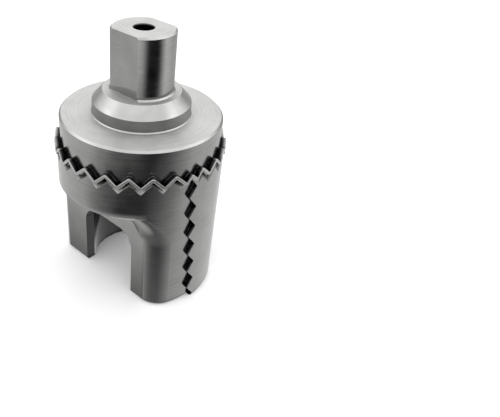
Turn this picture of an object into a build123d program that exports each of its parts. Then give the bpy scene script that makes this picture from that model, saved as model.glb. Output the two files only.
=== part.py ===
"""Ravioli machine die, turned and milled from one bar of stainless steel.

A drive shank with two flats stands on a stepped collar and a flanged body. Under the flange a proud
zigzag cutting blade runs round the body. Below it two eccentric skirts meet in a zigzag shear edge
down each of two legs, with a flat pocket and an open window between the legs.

Lengths are in millimetres and angles in degrees. The feet stand on z = 0 and the axis is Z. An azimuth
is measured from -Y towards +X, so the pockets face azimuths 0 and 180 and the legs 90 and 270.
"""
import os
from math import acos, atan2, cos, degrees, radians, sin, sqrt, tan

from build123d import *

# Flanged body
body_radius = 21.0
body_top = 50.0
rim_chamfer = 0.5

# Collar under the shank
collar_radius = 12.65
collar_band = 3.2
collar_face_radius = 10.0
collar_height = 6.1
collar_root_chamfer = 0.25

# Drive shank
shank_radius = 8.0
shank_height = 21.5
shank_flat_distance = 6.45
shank_chamfer = 0.4
shank_root_chamfer = 0.4

# Tapped retaining hole in the shank
hole_radius = 2.5
hole_depth = 16.0
hole_chamfer = 0.2
drill_point_angle = 118.0

# Zigzag blade, by its middle line and the width of its outer rim
blade_proud = 1.5
blade_level = 41.85
blade_swing = 2.7
blade_width = 1.05
blade_root = 2.0
blade_pitch = 14.57
blade_first_peak = 87.3
blade_peaks = 12
blade_bend = 0.9
small_tooth_azimuth = 79.0
small_tooth_drop = 0.8
small_valley_azimuth = 83.1
small_valley_rise = 0.3

# Relief under the blade
relief_depth = 0.6
relief_foot = 0.3
relief_width = 1.6

# Skirts, each part of a round bar whose axis lies off the die's axis
skirt_high_proud = 1.3
skirt_low_proud = 0.02

# Zigzag shear edge down each leg, by offsets from the leg's middle plane
edge_pitch = 6.3
edge_swing = 2.1
edge_low_point = 1.0
edge_teeth = 7
edge_foot_offset = -1.0
edge_top_offset = -3.65

# Pockets, window and bore
pocket_distance = 11.8
pocket_top = 30.7
lead_blend = 2.2
lead_corner_foot = 25.0
lead_corner_swing = 12.0
trail_blend = 6.5
trail_corner_foot = 21.0
trail_corner_swing = 18.0
window_half_width = 9.4
window_top = 20.7
window_corner = 5.0
bore_radius = 13.0
foot_round = 0.9

half_turn = 180.0
clearance = 3.0
blade_radius = body_radius + blade_proud
root_radius = body_radius - blade_root
reach = blade_radius + clearance

# The front skirt leads at the leg on -X, where it stands proud, and trails at the leg on +X.
# Its plan runs on past the middle of both legs by the overrun, until the shear edges trim it.
skirt_overrun = 25.0
bar_radius = body_radius + (skirt_high_proud + skirt_low_proud) / 2
bar_shift = (skirt_high_proud - skirt_low_proud) / 2
edge_azimuth = 90 + degrees((edge_foot_offset + edge_top_offset) / 2 / bar_radius)
bar_x = -bar_shift * sin(radians(edge_azimuth))
bar_y = bar_shift * cos(radians(edge_azimuth))


def on_bar(azimuth, radius=bar_radius):
    """Point at an azimuth seen from the front skirt's own axis."""
    return (bar_x + radius * sin(radians(azimuth)), bar_y - radius * cos(radians(azimuth)))


def skirt_radius(azimuth):
    """Distance from the die's axis to the rear skirt."""
    return bar_radius + bar_shift * cos(radians(azimuth - edge_azimuth))


def tangent_plane(azimuth, distance):
    """Plane that faces outwards at an azimuth, with x along the turn and y up."""
    turn = radians(azimuth)
    outward = Vector(sin(turn), -cos(turn), 0)
    return Plane(origin=outward * distance, x_dir=(cos(turn), sin(turn), 0), z_dir=outward)


def along_tangent(azimuth_step, distance):
    """Offset in a tangent plane of a radial line that lies azimuth_step round from its middle."""
    return distance * tan(radians(azimuth_step))


def blend_azimuth(radius):
    """Azimuth where a blend of this radius leaves the round bar, when it also touches the pocket floor."""
    return degrees(acos((pocket_distance + bar_y - radius) / (bar_radius - radius)))


def blend_points(radius, azimuth, side):
    """Start on the pocket floor, middle and end of a blend that leaves the bar at an azimuth."""
    centre_x, centre_y = on_bar(side * azimuth, bar_radius - radius)
    height = centre_y + pocket_distance
    spread = sqrt(max(radius**2 - height**2, 0))
    lean = degrees(atan2(spread, height))
    half = radians((azimuth - lean) / 2)
    start = (centre_x - side * spread, -pocket_distance)
    middle = (centre_x + side * radius * sin(half), centre_y - radius * cos(half))
    return start, middle, on_bar(side * azimuth)


def skirt_section(lead_swing=0.0, trail_swing=0.0):
    """Plan of the front skirt at the level of its pocket, with both blends swung inwards."""
    lead_end = blend_azimuth(lead_blend) - lead_swing
    trail_end = blend_azimuth(trail_blend) - trail_swing
    lead = blend_points(lead_blend, lead_end, -1)
    trail = blend_points(trail_blend, trail_end, 1)
    back = half_turn / 2 + skirt_overrun
    with BuildSketch() as section:
        with BuildLine():
            ThreePointArc(on_bar(-back), on_bar(-(back + lead_end) / 2), lead[2])
            ThreePointArc(lead[2], lead[1], lead[0])
            Line(lead[0], trail[0])
            ThreePointArc(*trail)
            ThreePointArc(trail[2], on_bar((trail_end + back) / 2), on_bar(back))
            Line(on_bar(back), on_bar(-back))
        make_face()
    return section.sketch


def corner_swing(height, foot, largest):
    """How far a blend has swung inwards at a height, from its corner's foot to the pocket's top."""
    return largest * (max(height - foot, 0) / (pocket_top - foot)) ** 2


def edge_points():
    """Corners of the shear edge in the plane of a leg, from below the foot to above the blade."""
    top = edge_low_point + (edge_teeth - 0.5) * edge_pitch
    drift = (edge_top_offset - edge_foot_offset) / (top - edge_low_point)
    points = []
    for step in range(-1, 2 * edge_teeth + 1):
        height = edge_low_point + step * edge_pitch / 2
        side = 1 if step % 2 == 0 else -1
        offset = edge_foot_offset + drift * (height - edge_low_point) + side * edge_swing / 2
        points.append((offset, height))
    return points


def blade_corners():
    """Peaks and valleys of the blade's middle line over half a turn, as (azimuth, height)."""
    peak = blade_level + blade_swing / 2
    valley = blade_level - blade_swing / 2
    corners = []
    for tooth in range(blade_peaks):
        azimuth = blade_first_peak + tooth * blade_pitch
        corners.append((azimuth, peak))
        corners.append((azimuth + blade_pitch / 2, valley))
    corners.append((small_tooth_azimuth + half_turn, peak - small_tooth_drop))
    corners.append((small_valley_azimuth + half_turn, valley + small_valley_rise))
    return corners


def blade_cells():
    """Each corner of the blade with the halfway points to its neighbours, relative to the corner."""
    corners = blade_corners()
    count = len(corners)
    cells = []
    for index, (azimuth, height) in enumerate(corners):
        before = corners[index - 1]
        after = corners[(index + 1) % count]
        back = before[0] - (half_turn if index == 0 else 0)
        ahead = after[0] + (half_turn if index == count - 1 else 0)
        left = ((back - azimuth) / 2, (before[1] + height) / 2)
        right = ((ahead - azimuth) / 2, (after[1] + height) / 2)
        cells.append((azimuth, height, left, right))
    return cells


def band_section(cell, distance, top_gap, bottom_gap):
    """Straight band above or below the blade's middle line, in the tangent plane at a distance."""
    azimuth, height, left, right = cell
    left_x = along_tangent(left[0], distance)
    right_x = along_tangent(right[0], distance)
    middle_line = [(left_x, left[1]), (0, height), (right_x, right[1])]
    top = [(across, level + top_gap) for across, level in middle_line]
    bottom = [(across, level + bottom_gap) for across, level in reversed(middle_line)]
    with BuildSketch(tangent_plane(azimuth, distance)) as section:
        with BuildLine():
            Polyline(*top, *bottom, close=True)
        make_face()
    return section.sketch


def blade_section(cell, distance):
    """Band of the blade's width with rounded tips, in the tangent plane at a distance."""
    azimuth, height, left, right = cell
    half = blade_width / 2
    left_x = along_tangent(left[0], distance)
    right_x = along_tangent(right[0], distance)
    shortest_flank = min(-along_tangent(left[0], root_radius), along_tangent(right[0], root_radius))
    bend = min(blade_bend, shortest_flank)
    top = [(left_x, left[1] + half), (0, height + half), (right_x, right[1] + half)]
    bottom = [(right_x, right[1] - half), (0, height - half), (left_x, left[1] - half)]
    outer, inner = (top, bottom) if height > left[1] else (bottom, top)
    with BuildSketch(tangent_plane(azimuth, distance)) as section:
        with BuildLine():
            FilletPolyline(*outer, radius=bend)
            Polyline(outer[-1], *inner, outer[0])
        make_face()
    return section.sketch


def arch(half_width, top, corner):
    """Opening with rounded upper corners that is open at the feet."""
    with BuildSketch() as opening:
        with BuildLine():
            sides = [(half_width, 0), (half_width, top), (-half_width, top), (-half_width, 0)]
            FilletPolyline(*sides, radius=corner)
            Line(sides[-1], sides[0])
        make_face()
    return opening.sketch


def hole_profile():
    """Half section of the hole in the shank."""
    mouth = body_top + shank_height
    end = mouth - hole_depth
    point = hole_radius / tan(radians(drill_point_angle / 2))
    return [
        (0, mouth),
        (hole_radius + hole_chamfer, mouth),
        (hole_radius, mouth - hole_chamfer),
        (hole_radius, end),
        (0, end - point),
    ]


# The flange, collar and shank as one turned profile
flange_foot = blade_level - blade_swing
collar_root = (collar_radius, body_top)
shank_root = (shank_radius, body_top + collar_height)
profile = [
    (0, flange_foot),
    (body_radius, flange_foot),
    (body_radius, body_top - rim_chamfer),
    (body_radius - rim_chamfer, body_top),
    collar_root,
    (collar_radius, body_top + collar_band),
    (collar_face_radius, body_top + collar_height),
    shank_root,
    (shank_radius, body_top + shank_height - shank_chamfer),
    (shank_radius - shank_chamfer, body_top + shank_height),
    (0, body_top + shank_height),
]
with BuildPart() as turned_body:
    with BuildSketch(Plane.XZ) as half_section:
        with BuildLine():
            Polyline(*profile, close=True)
        make_face()
        chamfer(half_section.vertices().sort_by_distance((*collar_root, 0))[0], collar_root_chamfer)
        chamfer(half_section.vertices().sort_by_distance((*shank_root, 0))[0], shank_root_chamfer)
    revolve(axis=Axis.Z)

# The room of the front skirt, between the shear edges of the two legs
with BuildPart() as front_room:
    edge = edge_points()
    for side in (1, -1):
        with BuildSketch(Plane.YZ):
            with BuildLine():
                steps = [(side * offset, height) for offset, height in edge]
                Polyline(*steps, (-reach, edge[-1][1]), (-reach, edge[0][1]), close=True)
            make_face()
        extrude(amount=side * reach)

# The front skirt with its pocket: an eccentric bar, cut flat and blended at both sides of the flat
corner_levels = 4
with BuildPart() as skirt:
    with BuildSketch():
        add(skirt_section())
    extrude(amount=trail_corner_foot)
    foot_edges = skirt.faces().sort_by(Axis.Z)[0].edges().sort_by(SortBy.LENGTH)
    fillet(foot_edges[:-1], foot_round)
    for level in range(corner_levels + 1):
        height = trail_corner_foot + (pocket_top - trail_corner_foot) * level / corner_levels
        lead = corner_swing(height, lead_corner_foot, lead_corner_swing)
        trail = corner_swing(height, trail_corner_foot, trail_corner_swing)
        with BuildSketch(Plane.XY.offset(height)):
            add(skirt_section(lead, trail))
    loft()
    with BuildSketch(Plane.XY.offset(pocket_top)):
        with Locations((bar_x, bar_y)):
            Circle(bar_radius)
    extrude(amount=blade_level + blade_swing - pocket_top)
    add(front_room.part, mode=Mode.INTERSECT)

# Space above the blade's middle line, cleared from the skirts
with BuildPart() as above_blade:
    for cell in blade_cells():
        for distance in (root_radius, reach):
            add(band_section(cell, distance, 2 * blade_swing, 0))
        loft(ruled=True)

# Relief under the blade, sloping out to the skirt
with BuildPart() as relief:
    for cell in blade_cells():
        root = skirt_radius(cell[0]) - relief_depth
        narrow = -blade_width / 2 - relief_foot
        add(band_section(cell, root, 0, narrow))
        add(band_section(cell, root + 2 * relief_depth, 0, narrow - 2 * relief_width))
        loft(ruled=True)

# The zigzag blade, one short strip round each corner of its middle line
with BuildPart() as blade:
    for cell in blade_cells():
        for distance in (root_radius, reach):
            add(blade_section(cell, distance))
        loft(ruled=True)
    with BuildSketch():
        Circle(blade_radius)
    extrude(amount=body_top, mode=Mode.INTERSECT)

with BuildPart() as die_body:
    with PolarLocations(0, 2):
        add(skirt.part)
    with PolarLocations(0, 2):
        add(above_blade.part, mode=Mode.SUBTRACT)
    add(turned_body.part)
    with PolarLocations(0, 2):
        add(relief.part, mode=Mode.SUBTRACT)
    with PolarLocations(0, 2):
        add(blade.part)

    # Window straight through from one pocket to the other
    with BuildSketch(tangent_plane(0, 0)):
        add(arch(window_half_width, window_top, window_corner))
    extrude(amount=reach, both=True, mode=Mode.SUBTRACT)

    # Bore up between the legs
    with BuildSketch():
        Circle(bore_radius)
    extrude(amount=window_top, mode=Mode.SUBTRACT)

    # Two flats along the shank
    for side in (0, half_turn):
        with BuildSketch(tangent_plane(side, shank_flat_distance)):
            with Locations((0, body_top + collar_height)):
                Rectangle(2 * shank_radius, shank_height, align=(Align.CENTER, Align.MIN))
        extrude(amount=shank_radius, mode=Mode.SUBTRACT)

    # Retaining hole with its drill point and a small lead-in
    with BuildSketch(Plane.XZ):
        with BuildLine():
            Polyline(*hole_profile(), close=True)
        make_face()
    revolve(axis=Axis.Z, mode=Mode.SUBTRACT)

die_body.part.label = "die_body"
os.makedirs("parts", exist_ok=True)
export_step(die_body.part, "parts/die_body.step")
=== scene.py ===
"""Ravioli machine die in satin stainless steel, on a pale floor in a soft studio."""
import math

import bpy
from mathutils import Matrix, Vector


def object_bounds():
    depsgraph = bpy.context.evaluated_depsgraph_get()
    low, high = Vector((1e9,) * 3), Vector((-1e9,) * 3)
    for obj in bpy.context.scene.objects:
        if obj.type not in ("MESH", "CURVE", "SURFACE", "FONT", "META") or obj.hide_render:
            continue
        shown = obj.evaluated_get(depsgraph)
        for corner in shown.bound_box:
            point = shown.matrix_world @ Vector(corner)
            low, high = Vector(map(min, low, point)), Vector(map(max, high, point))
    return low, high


# Camera, fitted to the photograph's frame of 500 by 417
IMAGE_WIDTH = 500
IMAGE_HEIGHT = 417
FOCAL_PIXELS = 539.62
OPTICAL_CENTRE = (155.71, 184.21)
CAMERA_AZIMUTH = 44.67
CAMERA_DISTANCE = 0.1250
CAMERA_HEIGHT = 0.1122
CAMERA_YAW = 2.118
CAMERA_PITCH = 34.223
CAMERA_ROLL = 2.925
SENSOR_WIDTH = 36.0
CLIP_START = 0.01
CLIP_END = 20.0
HALF_TURN = 180

# Azimuth of the middle of a dark panel in front, at three heights of the ray, so the panel leans
PANEL_LEAN = ((-0.72, -28.0), (-0.50, 4.0), (-0.41, 48.0))

# Brightness of the room low down and in the middle, by the angle in degrees from the dark panel
ROOM_LOW = ((0, 0.005), (20, 0.012), (38, 0.08), (56, 0.18), (76, 0.36), (116, 0.46), (136, 0.54),
            (180, 0.90))
ROOM_MIDDLE = ((0, 0.0), (18, 0.0), (28, 0.04), (40, 0.22), (60, 0.52), (84, 0.46), (106, 0.38),
               (180, 0.40))

# Brightness of the rest of the room, by the angle in degrees from the viewer's side
ROOM_HORIZON = ((0, 0.68), (60, 0.58), (110, 0.36), (180, 0.30))
ROOM_HIGH = ((0, 0.75), (70, 0.85), (88, 1.17), (104, 1.05), (180, 0.95))
NEAR_FLOOR = ((0, 0.20), (60, 0.28), (120, 0.44), (180, 0.42))
FLOOR_BELOW = 0.9

# Brightness of the whole room where the metal reflects it a second time, by the same angle
ROOM_AGAIN = ((0, 0.01), (50, 0.04), (90, 0.18), (130, 0.30), (180, 0.32))

# Heights of the ray, from -1 to 1, between which one part of the room gives way to the next
NEAR_FLOOR_RISE = (-0.58, -0.93)
FLOOR_BELOW_RISE = (-0.90, -0.98)
HORIZON_RISE = (-0.16, 0.06)
HIGH_RISE = (0.40, 0.74)

# How much lower the high part of the room comes down at the back
HIGH_SLOPE = 0.35

# Floor, and the even light on it
FLOOR_SIZE = 6.0
FLOOR_WHITE = 0.97
FLOOR_LIGHT = 1.32

# Grey of the steel, from dark to light
TONE = (0.66, 0.80)
TONE_CONTRAST = (0.35, 0.65)
CLOUDS_IN_TONE = 0.5
BLUE_IN_TONE = 0.985

# Roughness of the steel, from polished to satin, and what is added on faces that look up
SATIN = (0.13, 0.22)
SATIN_CONTRAST = (0.3, 0.7)
CLOUDS_IN_SATIN = 0.6
TOP_SATIN = 0.42
TOP_SHARPNESS = 8.0

# Sizes of the marks in metres
TURNING_LINE = 0.00034
TURNING_LENGTH = 0.014
SCRATCH_WIDTH = 0.00022
SCRATCH_LENGTH = 0.012
MILLING_GRAIN = 0.0005
CLOUD_SIZE = 0.006
GROOVE_DEPTH = 0.00001

# Strength of the marks, and the layer of the noise that holds the scratches
GROOVE_STRENGTH = 0.4
MILLING_RELIEF = 0.4
SCRATCH_LEVEL = (0.66, 0.76)
SCRATCH_LAYER = 3.0

# Light rounding of all edges
EDGE_ROUND = 0.00012
SHADER_SAMPLES = 8

# Skirt's edge over each pocket, which turns in above the pocket's top
LIP_LEVEL = 0.0307
LIP_HEIGHT = 0.0017
LIP_TILT = 0.32
LIP_SPAN = (0.0165, 0.0140)

# Each painted shade below goes from one measure to another, and from the tone at the first to the tone at
# the second

# Milled flats, with a painted shade that darkens them towards the feet
FLAT_REACH = 0.0121
FLAT_FACING = 0.995
FLAT_SHADE = (0.002, 0.022, 0.42, 1.0)

# Rim of the blade, bright with a painted highlight that is brightest at its edges
RIM_DEPTH = 0.00015
RIM_PAINTED_HIGHLIGHT = 0.98
RIM_SATIN = 0.30
RIM_ROUND = 0.0004
RIM_HIGHLIGHT_EDGE = (0.985, 0.90)

# Painted shade on the side faces of the blade and of the shear steps, darkest at their root
CUT_RADIUS = 0.0203
CUT_FOOT = 0.0012
CUT_FACING = (0.25, 0.45)
CUT_SHADE = (0.0208, 0.0222, 0.03, 1.0)

# Painted shade in corners, up to a height just above the blade, and a painted dark line of shade on the
# relief along the blade
CORNER_TOP = 0.0475
CORNER_REACH = 0.0016
CORNER_SHADE = (0.24, 0.54, 0.05, 1.0)
RELIEF_SHADE = (0.80, 0.95, 0.05, 1.0)
RELIEF_SLOPE = 0.2

# Inner walls of the bore and the window, darkened by painted shade
INNER_FACING = (-0.2, -0.4)
INNER_PAINTED_SHADE = 0.17

# Painted shade at the feet and on faces that look down
FOOT_SHADE = (0.0, 0.0015, 0.45, 1.0)
OVERHANG_SHADE = (-0.02, -0.20, 1.0, 0.45)

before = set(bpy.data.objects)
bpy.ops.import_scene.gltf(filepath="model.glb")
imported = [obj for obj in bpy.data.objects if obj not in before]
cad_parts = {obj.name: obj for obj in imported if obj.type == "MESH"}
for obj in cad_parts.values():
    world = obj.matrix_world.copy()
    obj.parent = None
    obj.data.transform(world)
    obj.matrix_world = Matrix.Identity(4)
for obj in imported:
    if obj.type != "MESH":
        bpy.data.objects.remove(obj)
cad_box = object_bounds()
blade_radius = cad_box[1][0]


def direction(azimuth, elevation=0.0):
    """Unit vector; azimuth 0 points at the viewer's side and grows towards the viewer's right."""
    turn = math.radians(azimuth + CAMERA_AZIMUTH)
    tilt = math.radians(elevation)
    return Vector((math.sin(turn) * math.cos(tilt), -math.cos(turn) * math.cos(tilt), math.sin(tilt)))


def add_camera():
    """Camera at the photograph's place, its frame shifted to the photograph's optical centre."""
    data = bpy.data.cameras.new("camera")
    camera = bpy.data.objects.new("camera", data)
    bpy.context.scene.collection.objects.link(camera)
    data.sensor_fit = "HORIZONTAL"
    data.sensor_width = SENSOR_WIDTH
    data.lens = SENSOR_WIDTH * FOCAL_PIXELS / IMAGE_WIDTH
    data.shift_x = (IMAGE_WIDTH / 2 - OPTICAL_CENTRE[0]) / IMAGE_WIDTH
    data.shift_y = (OPTICAL_CENTRE[1] - IMAGE_HEIGHT / 2) / IMAGE_WIDTH
    data.clip_start = CLIP_START
    data.clip_end = CLIP_END

    forward = direction(HALF_TURN - CAMERA_YAW, -CAMERA_PITCH)
    level = forward.cross(Vector((0, 0, 1))).normalized()
    upright = level.cross(forward)
    roll = math.radians(CAMERA_ROLL)
    right = level * math.cos(roll) + upright * math.sin(roll)
    up = upright * math.cos(roll) - level * math.sin(roll)
    place = direction(0) * CAMERA_DISTANCE + Vector((0, 0, CAMERA_HEIGHT))
    turn = Matrix((right, up, -forward)).transposed().to_4x4()
    camera.matrix_world = Matrix.Translation(place) @ turn
    bpy.context.scene.camera = camera


class Graph:
    """Short ways to add shader nodes to one tree; each value is a number, a vector or an output."""

    def __init__(self, tree):
        self.tree = tree

    def add(self, kind, inputs=(), **settings):
        node = self.tree.nodes.new(kind)
        for name, value in settings.items():
            setattr(node, name, value)
        for key, value in dict(inputs).items():
            self.set(node.inputs[key], value)
        return node

    def set(self, socket, value):
        if isinstance(value, bpy.types.NodeSocket):
            self.tree.links.new(value, socket)
        else:
            socket.default_value = value

    def math(self, operation, first, second=0.0, third=0.0):
        node = self.add("ShaderNodeMath", {0: first, 1: second, 2: third}, operation=operation)
        return node.outputs[0]

    def product(self, first, *others):
        for other in others:
            first = self.math("MULTIPLY", first, other)
        return first

    def absolute(self, value):
        return self.math("ABSOLUTE", value)

    def above(self, value, limit):
        """One where the value is above the limit, zero elsewhere."""
        return self.math("GREATER_THAN", value, limit)

    def below(self, value, limit):
        """One where the value is below the limit, zero elsewhere."""
        return self.math("LESS_THAN", value, limit)

    def remap(self, value, low, high, to_low=0.0, to_high=1.0):
        sockets = {"Value": value, "From Min": low, "From Max": high, "To Min": to_low, "To Max": to_high}
        return self.add("ShaderNodeMapRange", sockets).outputs["Result"]

    def blend(self, factor, first, second):
        """Number that goes from the first to the second as the factor goes from 0 to 1."""
        return self.add("ShaderNodeMix", {0: factor, 2: first, 3: second}).outputs[0]

    def blend_vectors(self, factor, first, second):
        node = self.add("ShaderNodeMix", {0: factor, 4: first, 5: second}, data_type="VECTOR")
        return node.outputs[1]

    def ramp(self, value, stops):
        """Brightness for an angle from 0 to half a turn, given as 0 to 1."""
        node = self.add("ShaderNodeValToRGB", {0: value})
        elements = node.color_ramp.elements
        for _ in stops[2:]:
            elements.new(1.0)
        for element, (angle, brightness) in zip(elements, stops):
            element.position = angle / HALF_TURN
            element.color = (brightness, brightness, brightness, 1)
        return node.outputs["Color"]

    def vector(self, x, y, z):
        return self.add("ShaderNodeCombineXYZ", {0: x, 1: y, 2: z}).outputs[0]

    def split(self, vector):
        return self.add("ShaderNodeSeparateXYZ", {0: vector}).outputs

    def vector_math(self, operation, inputs):
        return self.add("ShaderNodeVectorMath", inputs, operation=operation).outputs

    def dot(self, vector, along):
        return self.vector_math("DOT_PRODUCT", {0: vector, 1: along})["Value"]

    def noise(self, vector, detail=2.0):
        sockets = {"Vector": vector, "Scale": 1.0, "Detail": detail}
        return self.add("ShaderNodeTexNoise", sockets).outputs["Fac"]

    def rounded_normal(self, radius):
        return self.add("ShaderNodeBevel", {"Radius": radius}, samples=SHADER_SAMPLES).outputs[0]


def half_turn_share(graph, angle):
    """Size of an angle as a share of half a turn."""
    return graph.math("DIVIDE", graph.absolute(angle), HALF_TURN)


def panel_azimuth(graph, height, around):
    """Azimuth of the dark panel's middle; its lean fades towards the back, which leaves no seam."""
    steep, level, shallow = PANEL_LEAN
    lower = graph.remap(height, steep[0], level[0], steep[1], level[1])
    upper = graph.remap(height, level[0], shallow[0], 0.0, shallow[1] - level[1])
    return graph.product(graph.math("ADD", lower, upper), graph.math("SUBTRACT", 1.0, around))


def first_reflection(graph, height, azimuth, around):
    """Brightness of the room where the metal reflects it once."""
    panel_rise = (PANEL_LEAN[1][0], PANEL_LEAN[2][0])
    off_panel = graph.math("SUBTRACT", azimuth, panel_azimuth(graph, height, around))
    away = half_turn_share(graph, off_panel)
    low_room = graph.ramp(away, ROOM_LOW)
    room = graph.blend(graph.remap(height, *panel_rise), low_room, graph.ramp(away, ROOM_MIDDLE))
    room = graph.blend(graph.remap(height, *NEAR_FLOOR_RISE), room, graph.ramp(around, NEAR_FLOOR))
    room = graph.blend(graph.remap(height, *FLOOR_BELOW_RISE), room, FLOOR_BELOW)
    room = graph.blend(graph.remap(height, *HORIZON_RISE), room, graph.ramp(around, ROOM_HORIZON))
    high = graph.remap(graph.math("MULTIPLY_ADD", around, HIGH_SLOPE, height), *HIGH_RISE)
    return graph.blend(high, room, graph.ramp(around, ROOM_HIGH))


def add_world():
    """Bright room with a dark panel in front, so upright round faces show one dark band."""
    world = bpy.data.worlds.new("studio")
    bpy.context.scene.world = world
    world.use_nodes = True
    graph = Graph(world.node_tree)
    ray = graph.add("ShaderNodeTexCoord").outputs["Generated"]
    height = graph.dot(ray, (0, 0, 1))
    azimuth = graph.math("ARCTAN2", graph.dot(ray, direction(90)), graph.dot(ray, direction(0)))
    azimuth = graph.math("DEGREES", azimuth)
    around = half_turn_share(graph, azimuth)
    room = first_reflection(graph, height, azimuth, around)

    # What the metal reflects twice is darker, and the floor is lit evenly
    path = graph.add("ShaderNodeLightPath").outputs
    room = graph.blend(graph.above(path["Glossy Depth"], 1), room, graph.ramp(around, ROOM_AGAIN))
    in_metal = graph.product(path["Is Glossy Ray"], graph.below(path["Diffuse Depth"], 1))
    background = world.node_tree.nodes["Background"]
    graph.set(background.inputs["Strength"], graph.blend(in_metal, FLOOR_LIGHT, room))
    background.inputs["Color"].default_value = (1, 1, 1, 1)


def add_floor():
    """Plain pale floor that the metal doesn't reflect."""
    bpy.ops.mesh.primitive_plane_add(size=FLOOR_SIZE)
    floor = bpy.context.object
    floor.name = "floor"
    floor.visible_glossy = False
    material = bpy.data.materials.new("floor")
    material.use_nodes = True
    shader = material.node_tree.nodes["Principled BSDF"]
    shader.inputs["Base Color"].default_value = (FLOOR_WHITE, FLOOR_WHITE, FLOOR_WHITE, 1)
    shader.inputs["Roughness"].default_value = 1.0
    shader.inputs["Specular IOR Level"].default_value = 0.0
    floor.data.materials.append(material)


class Face:
    """Shaded point of the die: its place, its facing and, as masks of 0 to 1, its kind of face."""

    def __init__(self, graph):
        coordinates = graph.add("ShaderNodeTexCoord").outputs
        self.point = coordinates["Object"]
        self.x, self.y, self.z = graph.split(self.point)
        face_x, face_y, self.face_z = graph.split(coordinates["Normal"])
        square = graph.math("ADD", graph.product(self.x, self.x), graph.product(self.y, self.y))
        self.radius = graph.math("SQRT", square)

        # Outward is 1 on a turned face, 0 on a side or level face and negative on an inner wall
        outward = graph.math("ADD", graph.product(self.x, face_x), graph.product(self.y, face_y))
        outward = graph.math("DIVIDE", outward, self.radius)
        self.inner = graph.remap(outward, *INNER_FACING)

        # Milled flats face straight along Y and lie near the axis
        self.flat = graph.product(graph.above(graph.absolute(face_y), FLAT_FACING),
                                  graph.below(graph.absolute(self.y), FLAT_REACH))

        # Side faces lie at the blade and at the shear steps, above the feet
        self.low = graph.below(self.z, CORNER_TOP)
        sideways = graph.remap(graph.absolute(outward), *CUT_FACING, 1.0, 0.0)
        self.cut = graph.product(sideways, graph.above(self.radius, CUT_RADIUS),
                                 graph.above(self.z, CUT_FOOT), self.low)

        # The blade's rim is the widest place of the die
        self.rim = graph.product(graph.above(self.radius, blade_radius - RIM_DEPTH),
                                 graph.above(outward, CUT_FACING[1]))


def ring_noise(graph, face, length, width, layer=0.0, detail=2.0):
    """Noise drawn out round the axis, which changes quickly with radius and height."""
    arc = graph.product(graph.math("ARCTAN2", face.y, face.x), blade_radius)
    along = graph.math("DIVIDE", arc, length)
    across = graph.math("DIVIDE", graph.math("ADD", face.radius, face.z), width)
    return graph.noise(graph.vector(along, across, layer), detail)


def even_noise(graph, face, size):
    """Noise of one size in all directions."""
    return graph.noise(graph.vector_math("SCALE", {0: face.point, "Scale": 1 / size})[0])


def machined_relief(graph, face):
    """Turning lines, and a finer, weaker grain on the milled flats."""
    turning = ring_noise(graph, face, TURNING_LENGTH, TURNING_LINE)
    grain = even_noise(graph, face, MILLING_GRAIN)
    milling = graph.math("MULTIPLY_ADD", grain, MILLING_RELIEF, (1 - MILLING_RELIEF) / 2)
    return graph.blend(face.flat, turning, milling)


def corner_shade(graph, face):
    """Painted shade in corners, and a painted dark line of shade on the relief where it meets the blade.
    """
    open_space = graph.add("ShaderNodeAmbientOcclusion", {"Distance": CORNER_REACH},
                           samples=SHADER_SAMPLES, only_local=True).outputs["AO"]
    corner = graph.remap(open_space, *CORNER_SHADE)
    relief_line = graph.remap(open_space, *RELIEF_SHADE)
    shade = graph.blend(graph.above(face.face_z, RELIEF_SLOPE), corner, relief_line)
    return graph.blend(face.low, 1.0, shade)


def tone_and_painted_light(graph, face, relief, clouds, rim_normal):
    """Grey of the steel: tool marks and scratches, then the rim's painted highlight and all the painted
    shades.
    """
    tone = graph.remap(graph.blend(CLOUDS_IN_TONE, relief, clouds), *TONE_CONTRAST, *TONE)
    scratches = ring_noise(graph, face, SCRATCH_LENGTH, SCRATCH_WIDTH, SCRATCH_LAYER, detail=0.0)
    tone = graph.blend(graph.remap(scratches, *SCRATCH_LEVEL), tone, TONE[1])
    # Painted shade on the side faces of the blade and the shear steps, darkest at their root
    cut = graph.blend(face.cut, 1.0, graph.remap(face.radius, *CUT_SHADE))
    tone = graph.product(tone, cut)

    # Painted highlight on the blade's rim, brightest at its edges
    true_normal = graph.add("ShaderNodeNewGeometry").outputs["Normal"]
    rim_edge_highlight = graph.remap(graph.dot(rim_normal, true_normal), *RIM_HIGHLIGHT_EDGE)
    tone = graph.blend(face.rim, tone, graph.blend(rim_edge_highlight, RIM_PAINTED_HIGHLIGHT, 1.0))

    # Painted shade on the inner walls of the bore and the window
    inner = graph.blend(face.inner, 1.0, INNER_PAINTED_SHADE)
    # Painted shade on the milled flats, darker towards the feet
    flat = graph.blend(face.flat, 1.0, graph.remap(face.z, *FLAT_SHADE))
    # Painted shade at the feet
    painted_foot_shade = graph.remap(face.z, *FOOT_SHADE)
    # Painted shade on faces that look down
    painted_overhang_shade = graph.remap(face.face_z, *OVERHANG_SHADE)
    return graph.product(tone, corner_shade(graph, face), inner, flat, painted_foot_shade, painted_overhang_shade)


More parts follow.
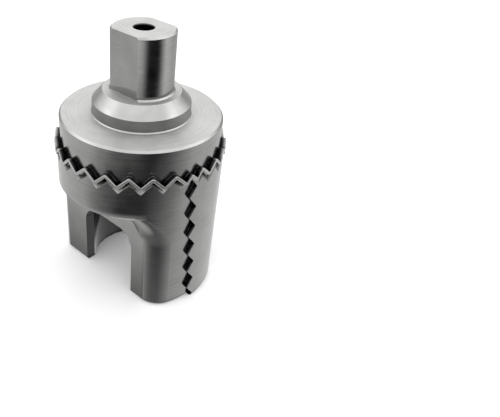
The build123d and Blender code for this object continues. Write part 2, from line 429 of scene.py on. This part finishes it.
def metal_satin(graph, face, relief, clouds):
    """Roughness of the steel, which is highest on faces that look up."""
    satin = graph.remap(graph.blend(CLOUDS_IN_SATIN, relief, clouds), *SATIN_CONTRAST, *SATIN)
    upward = graph.math("POWER", graph.math("MAXIMUM", face.face_z, 0.0), TOP_SHARPNESS)
    satin = graph.math("MULTIPLY_ADD", upward, TOP_SATIN, satin)
    return graph.blend(face.rim, satin, RIM_SATIN)


def metal_normal(graph, face, relief, rim_normal):
    """Light rounding of all edges, wider on the rim; the skirt's edge over a pocket turns in."""
    lip = graph.remap(face.z, LIP_LEVEL, LIP_LEVEL + LIP_HEIGHT, 1.0, 0.0)
    over_pocket = graph.remap(graph.absolute(face.x), *LIP_SPAN)
    lip = graph.product(lip, graph.above(face.z, LIP_LEVEL), over_pocket)
    tilt = graph.vector(0.0, 0.0, graph.product(lip, -LIP_TILT))
    turned_in = graph.vector_math("ADD", {0: graph.rounded_normal(EDGE_ROUND), 1: tilt})[0]
    turned_in = graph.vector_math("NORMALIZE", {0: turned_in})[0]
    normal = graph.blend_vectors(face.rim, turned_in, rim_normal)
    sockets = {"Strength": GROOVE_STRENGTH, "Distance": GROOVE_DEPTH, "Height": relief, "Normal": normal}
    return graph.add("ShaderNodeBump", sockets).outputs[0]


def steel():
    """Satin stainless steel, turned round the axis and milled on the flats."""
    material = bpy.data.materials.new("satin_steel")
    material.use_nodes = True
    graph = Graph(material.node_tree)
    shader = material.node_tree.nodes["Principled BSDF"]
    face = Face(graph)
    relief = machined_relief(graph, face)
    clouds = even_noise(graph, face, CLOUD_SIZE)
    rim_normal = graph.rounded_normal(RIM_ROUND)

    tone = tone_and_painted_light(graph, face, relief, clouds, rim_normal)
    grey = graph.add("ShaderNodeCombineColor", {0: tone, 1: tone, 2: graph.product(tone, BLUE_IN_TONE)})
    graph.set(shader.inputs["Base Color"], grey.outputs[0])
    graph.set(shader.inputs["Roughness"], metal_satin(graph, face, relief, clouds))
    graph.set(shader.inputs["Normal"], metal_normal(graph, face, relief, rim_normal))
    shader.inputs["Metallic"].default_value = 1.0
    return material


bpy.context.scene.view_settings.view_transform = "Standard"
add_camera()
add_world()
add_floor()
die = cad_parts["die_body"]
die.data.materials.clear()
die.data.materials.append(steel())
